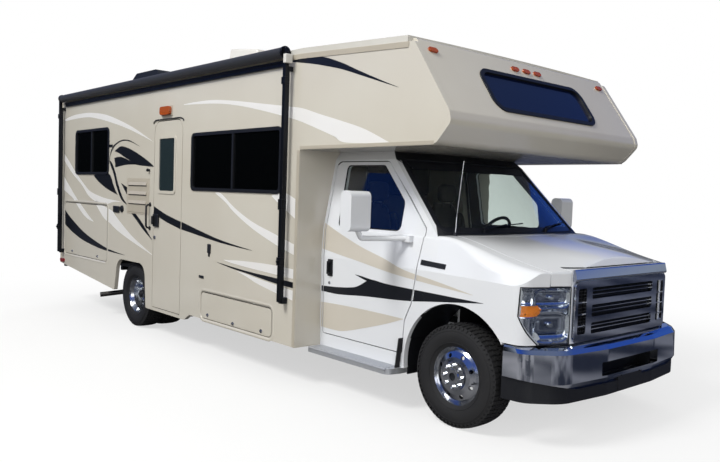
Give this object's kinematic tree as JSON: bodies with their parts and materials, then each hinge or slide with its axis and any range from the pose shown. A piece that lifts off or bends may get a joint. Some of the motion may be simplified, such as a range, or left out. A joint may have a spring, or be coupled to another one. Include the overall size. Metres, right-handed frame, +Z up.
{
  "type": "motorhome",
  "caption": "Coach-built motorhome on a cutaway van chassis, with a bunk over the cab, opening doors, hatches and hood, steered front wheels and twin rear wheels.",
  "frame": {"origin": "on the ground, on the centre plane, halfway between the front and rear bumper faces", "axes": "+X forward, +Y to the vehicle's left, +Z up"},
  "size_m": [7.912, 2.912, 3.25],
  "materials": {
    "house_laminate": "glossy beige gelcoat",
    "cab_paint": "gloss white paint",
    "roof_membrane": "matt white membrane",
    "tinted_glass": "dark tinted",
    "clear_glass": "clear",
    "chrome_plate": "bright chrome",
    "lamp_lens": "clear moulded lens",
    "marker_lens": "amber and red lens",
    "black_trim": "fine-grained black",
    "black_steel": "satin black",
    "cast_metal": "as cast",
    "tank_plastic": "moulded",
    "exhaust_steel": "dull",
    "tyre_rubber": "matt",
    "wheel_metal": "polished",
    "aluminium_plate": "mill finish",
    "interior_plastic": "grained grey",
    "seat_fabric": "woven",
    "floor_ply": "sealed plywood"
  },
  "bodies": {
    "root": {"chassis_frame": "black_steel", "rear_axle": "cast_metal", "front_axle": "cast_metal", "engine": "cast_metal", "tanks": "tank_plastic", "exhaust": "exhaust_steel", "cab_shell": "cab_paint", "front_fenders": "cab_paint", "grille": "chrome_plate", "headlamps": "lamp_lens", "front_bumper": "chrome_plate", "splash_guards": "black_trim", "windscreen": "clear_glass", "dashboard": "interior_plastic", "cab_seats": "seat_fabric", "running_boards": "aluminium_plate", "coach_floor": "floor_ply", "luggage_boxes": "interior_plastic", "right_wall": "house_laminate", "left_wall": "house_laminate", "rear_wall": "house_laminate", "coach_roof": "roof_membrane", "front_bulkhead": "house_laminate", "overcab_cap": "house_laminate", "window_frames": "black_trim", "window_glass": "tinted_glass", "awning": "black_trim", "roof_units": "black_trim", "rear_bumper": "black_steel", "body_lamps": "marker_lens"},
    "hood": {"hood": "cab_paint"},
    "entry_door": {"entry_door": "house_laminate", "entry_door_glass": "tinted_glass"},
    "luggage_door_front": {"luggage_door_front": "house_laminate"},
    "luggage_door_rear": {"luggage_door_rear": "house_laminate"},
    "luggage_door_left": {"luggage_door_left": "house_laminate"},
    "cab_door_right": {"cab_door_right": "cab_paint", "cab_glass_right": "clear_glass", "mirror_right": "cab_paint"},
    "knuckle_right": {"knuckle_right": "cast_metal"},
    "front_wheel_right": {"front_tyre_right": "tyre_rubber", "front_rim_right": "wheel_metal"},
    "rear_wheels_right": {"rear_tyres_right": "tyre_rubber", "rear_rims_right": "wheel_metal"},
    "cab_door_left": {"cab_door_left": "cab_paint", "cab_glass_left": "clear_glass", "mirror_left": "cab_paint"},
    "knuckle_left": {"knuckle_left": "cast_metal"},
    "front_wheel_left": {"front_tyre_left": "tyre_rubber", "front_rim_left": "wheel_metal"},
    "rear_wheels_left": {"rear_tyres_left": "tyre_rubber", "rear_rims_left": "wheel_metal"}
  },
  "joints": [
    {"name": "cab_door_right_swing", "type": "hinge", "parent": "root", "child": "cab_door_right", "pos_m": [2.776, -1, 1], "axis": [0, 0, 1], "range_deg": [0, 65]},
    {"name": "steer_right", "type": "hinge", "parent": "root", "child": "knuckle_right", "pos_m": [3.136, -0.77, 0.372], "axis": [0, 0, 1], "range_deg": [-32, 32]},
    {"name": "front_wheel_right_spin", "type": "hinge", "parent": "knuckle_right", "child": "front_wheel_right", "pos_m": [3.136, -0.875, 0.372], "axis": [0, 1, 0], "continuous": true},
    {"name": "rear_wheels_right_spin", "type": "hinge", "parent": "root", "child": "rear_wheels_right", "pos_m": [-1.563, -0.9655, 0.372], "axis": [0, 1, 0], "continuous": true},
    {"name": "cab_door_left_swing", "type": "hinge", "parent": "root", "child": "cab_door_left", "pos_m": [2.776, 1, 1], "axis": [0, 0, -1], "range_deg": [0, 65]},
    {"name": "steer_left", "type": "hinge", "parent": "root", "child": "knuckle_left", "pos_m": [3.136, 0.77, 0.372], "axis": [0, 0, 1], "range_deg": [-32, 32]},
    {"name": "front_wheel_left_spin", "type": "hinge", "parent": "knuckle_left", "child": "front_wheel_left", "pos_m": [3.136, 0.875, 0.372], "axis": [0, 1, 0], "continuous": true},
    {"name": "rear_wheels_left_spin", "type": "hinge", "parent": "root", "child": "rear_wheels_left", "pos_m": [-1.563, 0.9655, 0.372], "axis": [0, 1, 0], "continuous": true},
    {"name": "hood_lift", "type": "hinge", "parent": "root", "child": "hood", "pos_m": [2.986, 0, 1.378], "axis": [0, -1, 0], "range_deg": [0, 45]},
    {"name": "entry_door_swing", "type": "hinge", "parent": "root", "child": "entry_door", "pos_m": [-0.389, -1.2745, 1.3], "axis": [0, 0, 1], "range_deg": [0, 150]},
    {"name": "luggage_door_front_lift", "type": "hinge", "parent": "root", "child": "luggage_door_front", "pos_m": [0.676, -1.2625, 0.61], "axis": [-1, 0, 0], "range_deg": [0, 90]},
    {"name": "luggage_door_rear_lift", "type": "hinge", "parent": "root", "child": "luggage_door_rear", "pos_m": [-2.991, -1.2625, 1.385], "axis": [-1, 0, 0], "range_deg": [0, 90]},
    {"name": "luggage_door_left_lift", "type": "hinge", "parent": "root", "child": "luggage_door_left", "pos_m": [0.276, 1.2625, 0.61], "axis": [1, 0, 0], "range_deg": [0, 90]}
  ],
  "couplings": [
    {"joint": "steer_right", "follows": "steer_left", "ratio": 1}
  ]
}
